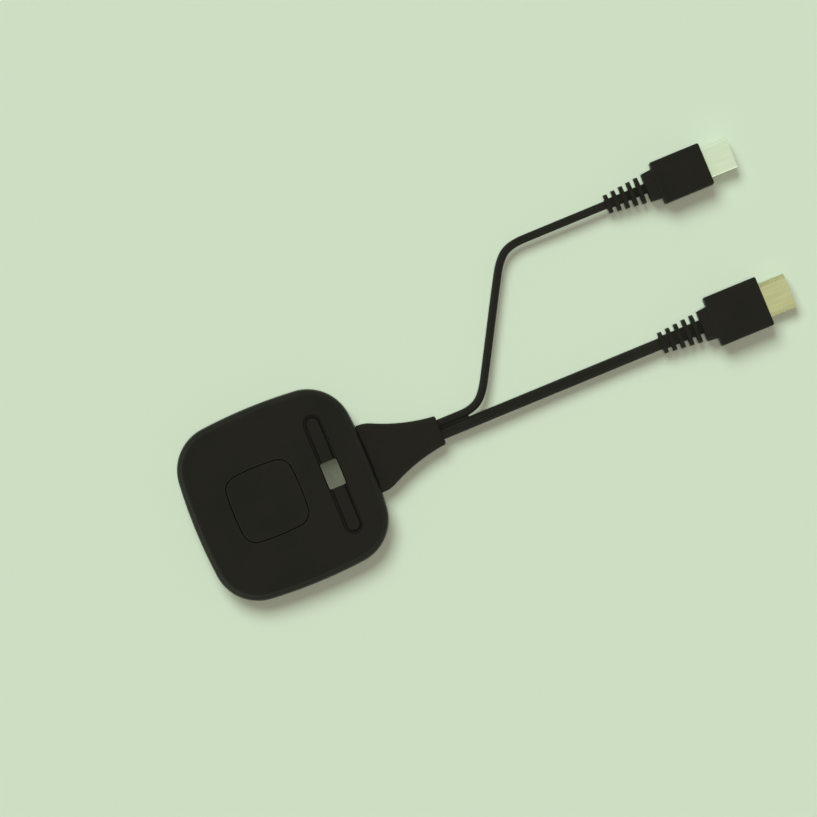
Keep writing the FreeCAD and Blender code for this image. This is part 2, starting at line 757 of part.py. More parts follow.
def make_boot():
    """The flared boot: a shoulder arc, a long hollow arc, and a squared tip, seen from above."""
    body = new_body("cable_boot")
    root = size.case_half + size.boot_neck
    root_half = size.boot_root_half
    low_z = size.boot_height - size.boot_thickness / 2
    sketch = new_sketch(body, "plan", "XY_Plane", z=low_z)
    shoulder = size.boot_shoulder_arc
    flare = size.boot_flare_arc
    shoulder_lean = math.radians(FIRST_SHOULDER_LEAN)
    tip_lean = math.radians(FIRST_TIP_LEAN)
    shoulder_x = root.number
    shoulder_y = root_half.number - shoulder.number
    flare_x = shoulder_x + (shoulder.number + flare.number) * math.sin(shoulder_lean)
    flare_y = shoulder_y + (shoulder.number + flare.number) * math.cos(shoulder_lean)
    back = line(sketch, (lug_back.number, 0), (lug_back.number, root_half.number))
    side = line(sketch, (lug_back.number, root_half.number), (root.number, root_half.number))
    bend = arc(sketch, (shoulder_x, shoulder_y), shoulder.number,
               math.pi / 2 - shoulder_lean, math.pi / 2)
    hollow = arc(sketch, (flare_x, flare_y), flare.number,
                 1.5 * math.pi - shoulder_lean, 1.5 * math.pi - tip_lean)
    tip = line(sketch, (boot_reach.number, size.boot_tip_half.number), (boot_reach.number, 0))
    middle = line(sketch, (boot_reach.number, 0), (lug_back.number, 0))
    relate(sketch, "Coincident", back, END, side, START)
    relate(sketch, "Tangent", side, END, bend, END)
    relate(sketch, "Tangent", bend, START, hollow, START)
    relate(sketch, "Coincident", hollow, END, tip, START)
    relate(sketch, "Coincident", tip, END, middle, START)
    relate(sketch, "Coincident", middle, END, back, START)
    relate(sketch, "Vertical", back)
    relate(sketch, "Horizontal", side)
    relate(sketch, "Vertical", tip)
    dimension(sketch, lug_back, "DistanceX", *ROOT, back, START)
    dimension(sketch, 0, "DistanceY", *ROOT, back, START)
    dimension(sketch, root_half, "DistanceY", back, START, back, END)
    dimension(sketch, root, "DistanceX", *ROOT, side, END)
    dimension(sketch, shoulder, "Radius", bend)
    dimension(sketch, flare, "Radius", hollow)
    dimension(sketch, boot_reach, "DistanceX", *ROOT, tip, START)
    dimension(sketch, size.boot_tip_half, "DistanceY", *ROOT, tip, START)
    dimension(sketch, 0, "DistanceY", *ROOT, tip, END)
    half = pad(body, sketch, size.boot_thickness)
    mirror = body.newObject("PartDesign::Mirrored", "cable_boot_mirror")
    mirror.Originals = [half]
    for feature in body.Origin.OriginFeatures:
        if feature.Role == "XZ_Plane":
            mirror.MirrorPlane = (feature, [""])
    body.Tip = mirror

    doc.recompute()

    def is_long_edge(edge):
        centre = edge.CenterOfMass
        return edge.BoundBox.XLength > 1.5 and abs(centre.y) > size.boot_tip_half.number * 0.5

    round_edges(body, size.boot_edge_round, is_long_edge)
    bevel_edges(body, size.boot_tip_bevel, lies_at(boot_reach, "x"))
    sketch = new_sketch(body, "lugs", "YZ_Plane", x=lug_back, z=size.boot_height)
    draw_rounded(sketch, (size.boot_root_half + size.boot_lug) * 2, size.boot_thickness,
                 size.boot_edge_round)
    pad(body, sketch, size.boot_lug_thickness)
    for cable, y, radius in (("video", size.video_axis_place, size.video_cable_radius),
                             ("usb", size.usb_exit_place, size.usb_cable_radius)):
        doc.recompute()
        sketch = new_sketch(body, cable + "_bore", "YZ_Plane", x=boot_reach, y=y,
                            z=size.boot_height)
        draw_circle(sketch, radius + size.slip_gap)
        cut(body, sketch, size.cable_seat)


# Cables

ARC_SHARE = 0.45


def corner_radius_at(before, corner, after):
    turn = (corner - before).getAngle(after - corner)
    shorter = min((corner - before).Length, (after - corner).Length)
    return ARC_SHARE * shorter / math.tan(turn / 2)


def cable_path(points):
    """Straight runs joined by tangent arcs, each arc as large as its two runs allow."""
    edges = []
    here = points[0]
    for before, corner, after in zip(points, points[1:], points[2:]):
        arriving = (corner - before).normalize()
        leaving = (after - corner).normalize()
        reach = ARC_SHARE * min((corner - before).Length, (after - corner).Length)
        radius = corner_radius_at(before, corner, after)
        start = corner - arriving * reach
        end = corner + leaving * reach
        inward = (leaving - arriving).normalize()
        centre = corner + inward * math.hypot(radius, reach)
        edges.append(Part.LineSegment(here, start).toShape())
        edges.append(Part.Arc(start, centre - inward * radius, end).toShape())
        here = end
    edges.append(Part.LineSegment(here, points[-1]).toShape())
    return Part.Wire(edges)


def make_cable(label, points, radius):
    path = cable_path(points)
    section = Part.Wire(Part.Circle(points[0], points[1] - points[0], radius).toShape())
    tube = path.makePipeShell([section], True, False)
    item = keep(doc.addObject("Part::Feature", label + "_tube"), label)
    item.Shape = tube
    radii = [corner_radius_at(*trio) for trio in zip(points, points[1:], points[2:])]
    print(label, "bend radii mm:", ", ".join("%.1f" % value for value in radii))
    expected = math.pi * radius ** 2 * path.Length
    print(label, "length %.1f mm," % path.Length,
          "volume %.1f mm3, section times length %.1f mm3" % (tube.Volume, expected))


def make_cables():
    exit_x = (boot_reach - size.cable_seat).number
    exit_z = size.boot_height.number
    axis_y = size.video_axis_place.number
    axis_z = size.video_axis_height.number
    end_x = (size.video_relief_start + size.cable_seat).number
    route = [Vector(exit_x, axis_y, exit_z), Vector(exit_x + 15.5, axis_y, exit_z),
             Vector(104.0, axis_y, 5.4), Vector(131.0, axis_y, 5.1),
             Vector(end_x - 12.2, axis_y, axis_z), Vector(end_x, axis_y, axis_z)]
    make_cable("video_cable", route, size.video_cable_radius.number)

    exit_y = size.usb_exit_place.number
    axis_y = size.usb_axis_place.number
    axis_z = size.usb_axis_height.number
    end_x = (size.usb_relief_start + size.cable_seat).number
    route = [Vector(exit_x, exit_y, exit_z), Vector(exit_x + 7.5, exit_y, exit_z),
             Vector(exit_x + 17.1, exit_y, 5.7), Vector(86.0, 6.1, 5.5), Vector(92.5, 17.4, 5.2),
             Vector(106.3, 41.7, 4.8), Vector(112.8, 52.7, 4.8), Vector(118.8, axis_y, 4.8),
             Vector(130.0, axis_y, 5.0), Vector(end_x - 13.9, axis_y, axis_z),
             Vector(end_x, axis_y, axis_z)]
    make_cable("usb_cable", route, size.usb_cable_radius.number)


# Strain reliefs and plugs

RIB_ROUND_SHARE = 0.45


def make_relief(label, start, length, axis_y, axis_z, core_radius, cable_radius, rib_pitch, rib_first,
                rib_last):
    """A moulded sleeve round the cable's end, with flattened ribs that grow towards the plug."""
    body = new_body(label)
    sketch = new_sketch(body, "core", "YZ_Plane", x=start, y=axis_y, z=axis_z)
    draw_circle(sketch, core_radius)
    pad(body, sketch, length)
    count = int(size.rib_count.number)
    for number in range(count):
        share = number / (count - 1)
        width = rib_first + (rib_last - rib_first) * share
        height = width - size.rib_flattening
        sketch = new_sketch(body, "rib_%d" % (number + 1), "YZ_Plane", y=axis_y, z=axis_z,
                            x=start + size.rib_setback + rib_pitch * number)
        draw_rounded(sketch, width, height, height * RIB_ROUND_SHARE)
        pad(body, sketch, size.rib_thickness)
    sketch = new_sketch(body, "bore", "YZ_Plane", x=start, y=axis_y, z=axis_z)
    draw_circle(sketch, cable_radius + size.slip_gap)
    cut(body, sketch, size.cable_seat, reverse=True)


def make_plug_body(label, start, axis_y, axis_z, length, width, thickness, collar_length, collar_back,
                   collar_front, draw_shell_hole):
    """A plug's overmould: a plain block with a tapered collar behind it and the shell's seat in front."""
    body = new_body(label)
    sketch = new_sketch(body, "block", "YZ_Plane", x=start, y=axis_y, z=axis_z)
    draw_rounded(sketch, width, thickness, size.plug_edge_round)
    pad(body, sketch, length)
    at_back = lies_at(start, "x")
    at_front = lies_at(start + length, "x")
    bevel_edges(body, size.plug_end_bevel, lambda edge: at_back(edge) or at_front(edge))
    front_height = thickness - size.collar_step * 2
    back_height = front_height - (as_size(collar_front) - collar_back)
    sections = []
    for name, x, across, height in (("collar_back", start - collar_length, collar_back, back_height),
                                    ("collar_front", start, collar_front, front_height)):
        sketch = new_sketch(body, name, "YZ_Plane", x=x, y=axis_y, z=axis_z)
        draw_rounded(sketch, across, height, size.collar_edge_round)
        sections.append(sketch)
    loft = body.newObject("PartDesign::AdditiveLoft", label + "_collar")
    loft.Profile = sections[0]
    loft.Sections = [sections[1]]
    loft.Ruled = True
    doc.recompute()
    sketch = new_sketch(body, "shell_seat", "YZ_Plane", x=start + length, y=axis_y, z=axis_z)
    draw_shell_hole(sketch, size.slip_gap)
    cut(body, sketch, size.shell_seat)


def draw_video_section(sketch, outset):
    """The video plug's section: a flat box whose two upper corners are bevelled."""
    outset = as_size(outset)
    half = size.video_shell_width / 2 + outset
    high = size.video_shell_thickness / 2 + outset
    bevel = size.video_shell_bevel + outset * (2 - math.sqrt(2))
    draw_polygon(sketch, [(half, -high), (half, high - bevel), (half - bevel, high),
                          (-half + bevel, high), (-half, high - bevel), (-half, -high)])


def draw_usb_section(sketch, outset):
    outset = as_size(outset)
    draw_rounded(sketch, size.usb_shell_width + outset * 2, size.usb_shell_thickness + outset * 2,
                 size.usb_shell_corner + outset)


def make_shell(label, back, axis_y, axis_z, length, draw_section):
    body = new_body(label)
    sketch = new_sketch(body, "tube", "YZ_Plane", x=back, y=axis_y, z=axis_z)
    draw_section(sketch, 0)
    pad(body, sketch, length)
    sketch = new_sketch(body, "mouth", "YZ_Plane", x=back, y=axis_y, z=axis_z)
    draw_section(sketch, -size.shell_wall)
    cut(body, sketch, length, reverse=True)
    return body


def make_contact_row(label, count, pitch, start_x, axis_y, low_z, length, width, thickness):
    """A row of equal flat contact strips side by side, as one piece."""
    strips = []
    for number in range(count):
        place = axis_y + pitch * (number - (count - 1) / 2)
        strips.append(box("%s_%d" % (label, number + 1), start_x + as_size(length) / 2, place,
                          low_z, length, width, thickness))
    row = doc.addObject("Part::Compound", label + "_row")
    row.Links = strips
    return keep(row, label)


INSERT_SETBACK = 0.5
CONTACT_THICKNESS = 0.15
VIDEO_MOUTH_WIDTH = 10.6
VIDEO_MOUTH_HEIGHT = 2.0
VIDEO_MOUTH_DEPTH = 7.5
VIDEO_MOUTH_CORNER = 0.2
VIDEO_CONTACT_PITCH = 1.0
VIDEO_CONTACT_WIDTH = 0.45
VIDEO_CONTACT_SETBACK = 0.6
USB_TONGUE_HEIGHT = 1.9
USB_TONGUE_SIDE_GAP = 0.3
USB_CONTACT_PITCH = 2.4
USB_CONTACT_WIDTH = 1.1
USB_CONTACT_START = 0.5
USB_CONTACT_SETBACK = 1.7
LATCH_HOLE = 2.2
LATCH_REACH = 5.9
LATCH_SPACING = 5.3


def make_video_plug():
    axis_y, axis_z = size.video_axis_place, size.video_axis_height
    make_relief("video_strain_relief", size.video_relief_start, size.video_relief_length, axis_y, axis_z,
                size.video_relief_radius, size.video_cable_radius, size.video_rib_pitch,
                size.video_rib_first, size.video_rib_last)
    make_plug_body("video_plug_body", video_body_start, axis_y, axis_z, size.video_body_length,
                   size.video_body_width, size.video_body_thickness, size.video_collar_length,
                   size.video_collar_back, size.video_collar_front, draw_video_section)
    back = video_body_start + size.video_body_length - size.shell_seat
    length = size.shell_seat + size.video_shell_reach
    make_shell("video_plug_shell", back, axis_y, axis_z, length, draw_video_section)

    body = new_body("video_plug_insert")
    insert_length = length - INSERT_SETBACK
    sketch = new_sketch(body, "block", "YZ_Plane", x=back, y=axis_y, z=axis_z)
    draw_video_section(sketch, -size.shell_wall - size.slip_gap)
    pad(body, sketch, insert_length)
    sketch = new_sketch(body, "mouth", "YZ_Plane", x=back + insert_length, y=axis_y, z=axis_z)
    draw_rounded(sketch, VIDEO_MOUTH_WIDTH, VIDEO_MOUTH_HEIGHT, VIDEO_MOUTH_CORNER)
    cut(body, sketch, VIDEO_MOUTH_DEPTH)
    contact_start = back + insert_length - VIDEO_MOUTH_DEPTH
    low_side = axis_z - VIDEO_MOUTH_HEIGHT / 2
    high_side = axis_z + VIDEO_MOUTH_HEIGHT / 2 - CONTACT_THICKNESS
    for name, count, low_z in (("lower", 10, low_side), ("upper", 9, high_side)):
        make_contact_row("video_contacts_" + name, count, VIDEO_CONTACT_PITCH, contact_start, axis_y,
                         low_z, VIDEO_MOUTH_DEPTH - VIDEO_CONTACT_SETBACK, VIDEO_CONTACT_WIDTH,
                         CONTACT_THICKNESS)


def make_usb_plug():
    axis_y, axis_z = size.usb_axis_place, size.usb_axis_height
    make_relief("usb_strain_relief", size.usb_relief_start, size.usb_relief_length, axis_y, axis_z,
                size.usb_relief_radius, size.usb_cable_radius, size.usb_rib_pitch, size.usb_rib_first,
                size.usb_rib_last)
    make_plug_body("usb_plug_body", usb_body_start, axis_y, axis_z, size.usb_body_length,
                   size.usb_body_width, size.usb_body_thickness, size.usb_collar_length,
                   size.usb_collar_back, size.usb_collar_front, draw_usb_section)
    front = usb_body_start + size.usb_body_length
    back = front - size.shell_seat
    length = size.shell_seat + size.usb_shell_reach
    shell = make_shell("usb_plug_shell", back, axis_y, axis_z, length, draw_usb_section)
    sketch = new_sketch(shell, "latch_holes", "XY_Plane", x=front + LATCH_REACH, y=axis_y,
                        z=axis_z - size.usb_shell_thickness)
    hole_half = LATCH_HOLE / 2
    for sign in (-1, 1):
        middle = LATCH_SPACING / 2 * sign
        draw_rectangle(sketch, -hole_half, hole_half, middle - hole_half, middle + hole_half)
    cut(shell, sketch, size.usb_shell_thickness, reverse=True)

    body = new_body("usb_plug_tongue")
    inset = -size.shell_wall - size.slip_gap
    sketch = new_sketch(body, "base", "YZ_Plane", x=back, y=axis_y, z=axis_z)
    draw_usb_section(sketch, inset)
    pad(body, sketch, size.shell_seat)
    sketch = new_sketch(body, "tongue", "YZ_Plane", x=back, y=axis_y, z=axis_z)
    half = size.usb_shell_width / 2 + inset
    low = -size.usb_shell_thickness / 2 - inset
    draw_rectangle(sketch, -half + USB_TONGUE_SIDE_GAP, half - USB_TONGUE_SIDE_GAP,
                   low, low + USB_TONGUE_HEIGHT)
    pad(body, sketch, length - INSERT_SETBACK)
    contact_length = size.usb_shell_reach - USB_CONTACT_START - USB_CONTACT_SETBACK
    make_contact_row("usb_contacts", 4, USB_CONTACT_PITCH, front + USB_CONTACT_START, axis_y,
                     axis_z + low + USB_TONGUE_HEIGHT, contact_length, USB_CONTACT_WIDTH,
                     CONTACT_THICKNESS)


make_top_cover()
make_bottom_cover()
for corner, (sign_x, sign_y) in SCREW_CORNERS.items():
    make_screw(corner, sign_x, sign_y)
    make_foot(corner, sign_x, sign_y)
make_share_button()
make_switch()
make_inlay("near", -1)
make_inlay("far", 1)
make_window()
make_board()
make_board_parts()
make_boot()
make_cables()
make_video_plug()
make_usb_plug()

# Checks, then one file for each piece

doc.recompute()
for item in doc.Objects:
    for word in ("Invalid", "Error"):
        if word in item.State:
            raise RuntimeError("%s is %s" % (item.Name, word))
os.makedirs("parts", exist_ok=True)
for item in nodes:
    shape = item.Shape
    if shape.isNull() or not shape.isValid():
        raise RuntimeError(item.Label + " has no valid shape")
for item in nodes:
    item.Shape.exportStep("parts/%s.step" % item.Label)
print(len(nodes), "pieces written")
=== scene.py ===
import json
import math

import bpy
from mathutils import Matrix, Vector


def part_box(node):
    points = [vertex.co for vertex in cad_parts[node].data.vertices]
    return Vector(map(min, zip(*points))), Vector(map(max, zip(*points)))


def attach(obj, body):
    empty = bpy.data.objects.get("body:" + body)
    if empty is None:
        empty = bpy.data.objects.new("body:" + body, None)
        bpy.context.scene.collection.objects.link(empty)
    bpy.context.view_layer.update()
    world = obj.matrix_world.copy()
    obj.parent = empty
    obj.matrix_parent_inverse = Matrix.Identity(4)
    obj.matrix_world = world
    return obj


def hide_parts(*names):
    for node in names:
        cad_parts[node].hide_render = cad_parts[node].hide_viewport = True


# A wireless screen sharing dongle on a pale floor: a matte black puck, a moulded boot,
# and two short cables that end in a video plug and a USB plug. Metres, +X towards the plugs.

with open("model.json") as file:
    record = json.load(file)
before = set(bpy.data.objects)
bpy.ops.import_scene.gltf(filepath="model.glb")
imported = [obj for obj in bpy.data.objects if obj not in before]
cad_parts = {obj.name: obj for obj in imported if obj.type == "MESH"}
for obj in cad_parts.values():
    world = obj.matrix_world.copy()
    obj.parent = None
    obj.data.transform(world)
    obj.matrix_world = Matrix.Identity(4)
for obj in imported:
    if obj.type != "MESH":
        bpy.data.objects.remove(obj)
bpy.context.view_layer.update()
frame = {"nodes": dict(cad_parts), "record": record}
nodes = frame["nodes"]

MM = 0.001


# Camera: nearly straight down, with the plugs towards the picture's upper right

CAMERA_ELEVATION = math.radians(88.5)
CAMERA_TURN = math.radians(22.45)
CAMERA_TARGET = Vector((57.8, 12.4, 7.0)) * MM
CAMERA_LENS = 300.0
VIEW_WIDTH = 316.7 * MM


def make_camera():
    data = bpy.data.cameras.new("camera")
    data.lens = CAMERA_LENS
    distance = VIEW_WIDTH * data.lens / data.sensor_width
    right = Vector((math.cos(CAMERA_TURN), -math.sin(CAMERA_TURN), 0))
    ahead = Vector((math.sin(CAMERA_TURN), math.cos(CAMERA_TURN), 0))
    back = Vector((0, 0, 1)) * math.sin(CAMERA_ELEVATION) - ahead * math.cos(CAMERA_ELEVATION)
    up = back.cross(right)
    camera = bpy.data.objects.new("camera", data)
    bpy.context.scene.collection.objects.link(camera)
    turn = Matrix((right, up, back)).transposed().to_4x4()
    camera.matrix_world = Matrix.Translation(CAMERA_TARGET + back * distance) @ turn
    bpy.context.scene.camera = camera


make_camera()


# Materials

# Where the noise's middle range starts and ends, for colours and for other values
COLOUR_SPAN = (0.35, 0.65)
VALUE_SPAN = (0.3, 0.7)

# How noise is stretched, as scales along X, Y and Z: small is long
EVEN = (1.0, 1.0, 1.0)
ALONG_SHELL = (0.12, 1.0, 1.0)
ALONG_CONTACT = (0.3, 1.0, 1.0)
ALONG_SCREW = (1.0, 1.0, 0.2)
ALONG_TRACKS = (1.0, 3.0, 1.0)


def linear(red, green, blue):
    """A colour as it shows on screen, 0 to 255 in sRGB, as the shader's linear values."""
    values = []
    for value in (red, green, blue):
        share = value / 255
        values.append(share / 12.92 if share <= 0.04045 else ((share + 0.055) / 1.055) ** 2.4)
    return (*values, 1.0)


class Finish:
    """A procedural material: one principled shader, fed by noise in the object's own space."""

    def __init__(self, name, roughness, metallic=0.0, specular=0.5):
        self.material = bpy.data.materials.new(name)
        self.material.use_nodes = True
        self.tree = self.material.node_tree
        self.shader = self.tree.nodes["Principled BSDF"]
        self.shader.inputs["Roughness"].default_value = roughness
        self.shader.inputs["Metallic"].default_value = metallic
        self.shader.inputs["Specular IOR Level"].default_value = specular
        self.place = self.tree.nodes.new("ShaderNodeTexCoord").outputs["Object"]

    def link(self, output, socket):
        self.tree.links.new(output, socket)

    def noise(self, grain, detail, stretch=EVEN):
        """Noise whose blobs are about one grain across, in metres."""
        mapping = self.tree.nodes.new("ShaderNodeMapping")
        mapping.inputs["Scale"].default_value = stretch
        self.link(self.place, mapping.inputs["Vector"])
        texture = self.tree.nodes.new("ShaderNodeTexNoise")
        texture.inputs["Scale"].default_value = 1 / grain
        texture.inputs["Detail"].default_value = detail
        self.link(mapping.outputs["Vector"], texture.inputs["Vector"])
        return texture.outputs["Fac"]

    def ramp(self, value, span, dark, light):
        """The value as a colour: dark at the span's start, light at its end."""
        ramp = self.tree.nodes.new("ShaderNodeValToRGB")
        for point, place, colour in zip(ramp.color_ramp.elements, span, (dark, light)):
            point.position = place
            point.color = colour
        self.link(value, ramp.inputs["Fac"])
        return ramp.outputs["Color"]

    def colour(self, value, dark, light):
        self.link(self.ramp(value, COLOUR_SPAN, dark, light), self.shader.inputs["Base Color"])

    def roughness(self, value, low, high):
        """The noise mapped to a range of roughness."""
        span = self.tree.nodes.new("ShaderNodeMapRange")
        span.inputs["From Min"].default_value, span.inputs["From Max"].default_value = VALUE_SPAN
        span.inputs["To Min"].default_value = low
        span.inputs["To Max"].default_value = high
        self.link(value, span.inputs["Value"])
        self.link(span.outputs["Result"], self.shader.inputs["Roughness"])

    def bump(self, value, height, strength):
        bump = self.tree.nodes.new("ShaderNodeBump")
        bump.inputs["Strength"].default_value = strength
        bump.inputs["Distance"].default_value = height
        self.link(value, bump.inputs["Height"])
        self.link(bump.outputs["Normal"], self.shader.inputs["Normal"])


BLACK_DARK = linear(16, 12, 10)
BLACK_LIGHT = linear(20, 15, 13)
BLACK_SPECULAR = 0.22
BLACK_CLOUD = 18 * MM
BLACK_SMUDGE = 1.6 * MM
BLACK_STRENGTH = 0.6


def black_plastic(name, grain, relief, rough_low, rough_high):
    """Moulded plastic with a fine spark-eroded texture and a faint cloudiness."""
    finish = Finish(name, rough_low, specular=BLACK_SPECULAR)
    finish.colour(finish.noise(BLACK_CLOUD, detail=3.0), BLACK_DARK, BLACK_LIGHT)
    finish.roughness(finish.noise(BLACK_SMUDGE, detail=3.0), rough_low, rough_high)
    finish.bump(finish.noise(grain, detail=3.0), relief, BLACK_STRENGTH)
    return finish.material


METAL_STREAK = 1.2 * MM
METAL_SCRATCH = 0.5 * MM
METAL_RELIEF = 0.002 * MM
METAL_STRENGTH = 0.4


def metal(name, dark, light, stretch, rough_low, rough_high):
    """Plated or drawn metal with faint marks along its stretch."""
    finish = Finish(name, rough_low, metallic=1.0)
    streaks = finish.noise(METAL_STREAK, detail=4.0, stretch=stretch)
    finish.colour(streaks, dark, light)
    finish.roughness(streaks, rough_low, rough_high)
    scratches = finish.noise(METAL_SCRATCH, detail=2.0, stretch=stretch)
    finish.bump(scratches, METAL_RELIEF, METAL_STRENGTH)
    return finish.material


MATTE_SPECULAR = 0.4
MATTE_ROUGH_SPREAD = 0.06
MATTE_STRENGTH = 0.5
MATTE_FINENESS = 3


def matte(name, dark, light, grain, relief, roughness, specular=MATTE_SPECULAR):
    """Mottled plastic, rubber or ceramic, with a relief finer than its mottle."""
    finish = Finish(name, roughness, specular=specular)
    mottle = finish.noise(grain, detail=3.0)
    finish.colour(mottle, dark, light)
    finish.roughness(mottle, roughness - MATTE_ROUGH_SPREAD, roughness + MATTE_ROUGH_SPREAD)
    finish.bump(finish.noise(grain / MATTE_FINENESS, detail=2.0), relief, MATTE_STRENGTH)
    return finish.material


FROSTED_DARK = linear(91, 95, 81)
FROSTED_LIGHT = linear(102, 106, 90)
# How far the painted shade darkens the window's far end, as a share of its tint
FROSTED_FAR_END_SHADE = 0.5
FROSTED_MOTTLE = 2.6 * MM
FROSTED_SMUDGE = 0.8 * MM
FROSTED_GRAIN = 0.2 * MM
FROSTED_RELIEF = 0.01 * MM
FROSTED_STRENGTH = 0.6
FROSTED_SPECULAR = 0.35
FROSTED_ROUGHNESS = 0.55
FROSTED_ROUGH_SPREAD = 0.1
FROSTED_SUBSURFACE = 0.25
FROSTED_SUBSURFACE_RADIUS = (1.0, 1.0, 0.9)
FROSTED_SUBSURFACE_SCALE = 0.8 * MM


def window_painted_shade(finish):
    """Painted shade: a value of 1 over the window's near half, falling to its far end, which lies
    past the light guide.
    """
    low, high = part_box("status_window")
    axes = finish.tree.nodes.new("ShaderNodeSeparateXYZ")
    finish.link(finish.place, axes.inputs["Vector"])
    fade = finish.tree.nodes.new("ShaderNodeMapRange")
    fade.interpolation_type = "SMOOTHSTEP"
    fade.inputs["From Min"].default_value = (low.y + high.y) / 2
    fade.inputs["From Max"].default_value = high.y
    fade.inputs["To Min"].default_value = 1.0
    fade.inputs["To Max"].default_value = FROSTED_FAR_END_SHADE
    finish.link(axes.outputs["Y"], fade.inputs["Value"])
    return fade.outputs["Result"]


def frosted_window():
    """Milky plastic over the lamps, with painted shade darkening its far end."""
    finish = Finish("frosted_window", FROSTED_ROUGHNESS, specular=FROSTED_SPECULAR)
    mottle = finish.noise(FROSTED_MOTTLE, detail=4.0)
    tint = finish.ramp(mottle, VALUE_SPAN, FROSTED_DARK, FROSTED_LIGHT)
    # Painted shade: the tint is scaled down towards the window's far end
    shade = finish.tree.nodes.new("ShaderNodeVectorMath")
    shade.operation = "SCALE"
    finish.link(tint, shade.inputs[0])
    finish.link(window_painted_shade(finish), shade.inputs["Scale"])
    finish.link(shade.outputs[0], finish.shader.inputs["Base Color"])
    finish.roughness(finish.noise(FROSTED_SMUDGE, detail=3.0),
                     FROSTED_ROUGHNESS - FROSTED_ROUGH_SPREAD,
                     FROSTED_ROUGHNESS + FROSTED_ROUGH_SPREAD)
    finish.bump(finish.noise(FROSTED_GRAIN, detail=2.0), FROSTED_RELIEF, FROSTED_STRENGTH)
    finish.shader.inputs["Subsurface Weight"].default_value = FROSTED_SUBSURFACE
    finish.shader.inputs["Subsurface Radius"].default_value = FROSTED_SUBSURFACE_RADIUS
    finish.shader.inputs["Subsurface Scale"].default_value = FROSTED_SUBSURFACE_SCALE
    return finish.material


MASK_DARK = linear(18, 58, 38)
MASK_LIGHT = linear(34, 92, 58)
MASK_TRACK = 2.2 * MM
MASK_SMUDGE = 3 * MM
MASK_GRAIN = 0.8 * MM
MASK_RELIEF = 0.02 * MM
MASK_STRENGTH = 0.5
MASK_ROUGHNESS = 0.35
MASK_ROUGH_SPREAD = 0.07


def circuit_board():
    """Green solder mask over copper: lighter where the tracks run."""
    finish = Finish("solder_mask", MASK_ROUGHNESS)
    tracks = finish.noise(MASK_TRACK, detail=4.0, stretch=ALONG_TRACKS)
    finish.colour(tracks, MASK_DARK, MASK_LIGHT)
    finish.roughness(finish.noise(MASK_SMUDGE, detail=2.0),
                     MASK_ROUGHNESS - MASK_ROUGH_SPREAD, MASK_ROUGHNESS + MASK_ROUGH_SPREAD)
    finish.bump(finish.noise(MASK_GRAIN, detail=2.0), MASK_RELIEF, MASK_STRENGTH)
    return finish.material


# Black pieces: grain, relief, and the lowest and highest roughness
case_plastic = black_plastic("case_plastic", 0.25 * MM, 0.012 * MM, 0.32, 0.4)
button_plastic = black_plastic("button_plastic", 0.2 * MM, 0.008 * MM, 0.32, 0.4)
bar_plastic = black_plastic("bar_plastic", 0.16 * MM, 0.004 * MM, 0.3, 0.38)
boot_rubber = black_plastic("boot_rubber", 0.35 * MM, 0.014 * MM, 0.55, 0.66)
plug_plastic = black_plastic("plug_plastic", 0.3 * MM, 0.012 * MM, 0.5, 0.62)
cable_jacket = black_plastic("cable_jacket", 0.4 * MM, 0.008 * MM, 0.5, 0.6)

# Metals: two colours, stretch, and the lowest and highest roughness
gold_plate = metal("gold_plate", linear(225, 210, 174), linear(232, 218, 183),
                   ALONG_SHELL, 0.22, 0.28)
nickel_plate = metal("nickel_plate", linear(249, 249, 240), linear(253, 253, 245),
                     ALONG_SHELL, 0.3, 0.36)
contact_gold = metal("contact_gold", linear(214, 168, 84), linear(238, 198, 116),
                     ALONG_CONTACT, 0.2, 0.3)
screw_steel = metal("screw_steel", linear(150, 150, 152), linear(182, 182, 184),
                    ALONG_SCREW, 0.3, 0.45)
radio_shield = metal("radio_shield", linear(176, 178, 178), linear(206, 208, 206),
                     EVEN, 0.32, 0.45)

# The rest: two colours, mottle, relief and roughness
foot_rubber = matte("foot_rubber", linear(28, 28, 28), linear(40, 39, 37),
                    1.2 * MM, 0.03 * MM, 0.85, specular=0.2)
chip_resin = matte("chip_resin", linear(34, 34, 36), linear(46, 46, 48),
                   1.0 * MM, 0.01 * MM, 0.6)
antenna_ceramic = matte("antenna_ceramic", linear(214, 210, 196), linear(232, 228, 214),
                        1.5 * MM, 0.01 * MM, 0.45)
lamp_resin = matte("lamp_resin", linear(226, 214, 150), linear(244, 236, 190),
                   0.8 * MM, 0.01 * MM, 0.35)
socket_nylon = matte("socket_nylon", linear(206, 200, 184), linear(224, 219, 204),
                     1.4 * MM, 0.01 * MM, 0.55)
insert_resin = matte("insert_resin", linear(26, 26, 27), linear(36, 36, 36),
                     1.0 * MM, 0.01 * MM, 0.5)
plunger_nylon = matte("plunger_nylon", linear(196, 60, 44), linear(214, 78, 60),
                      0.8 * MM, 0.01 * MM, 0.45)
guide_acrylic = matte("guide_acrylic", linear(216, 220, 212), linear(232, 236, 228),
                      1.2 * MM, 0.008 * MM, 0.25)

SLOT_FINISHES = {
    "case": case_plastic,
    "button": button_plastic,
    "bar": bar_plastic,
    "window": frosted_window(),
    "light_guide": guide_acrylic,
    "rubber_foot": foot_rubber,
    "screw": screw_steel,
    "board": circuit_board(),
    "chip": chip_resin,
    "shield": radio_shield,
    "antenna": antenna_ceramic,
    "led": lamp_resin,
    "socket": socket_nylon,
    "plunger": plunger_nylon,
    "boot": boot_rubber,
    "cable": cable_jacket,
    "strain_relief": plug_plastic,
    "plug": plug_plastic,
    "video_shell": gold_plate,
    "usb_shell": nickel_plate,
    "insert": insert_resin,
    "contact": contact_gold,
}


def dress_nodes():
    """Each node gets the finish of the material slot that the record gives it."""
    for part in frame["record"]["subparts"]:
        mesh = nodes[part["node"]].data
        mesh.materials.clear()
        mesh.materials.append(SLOT_FINISHES[part["material_slot"]])


dress_nodes()


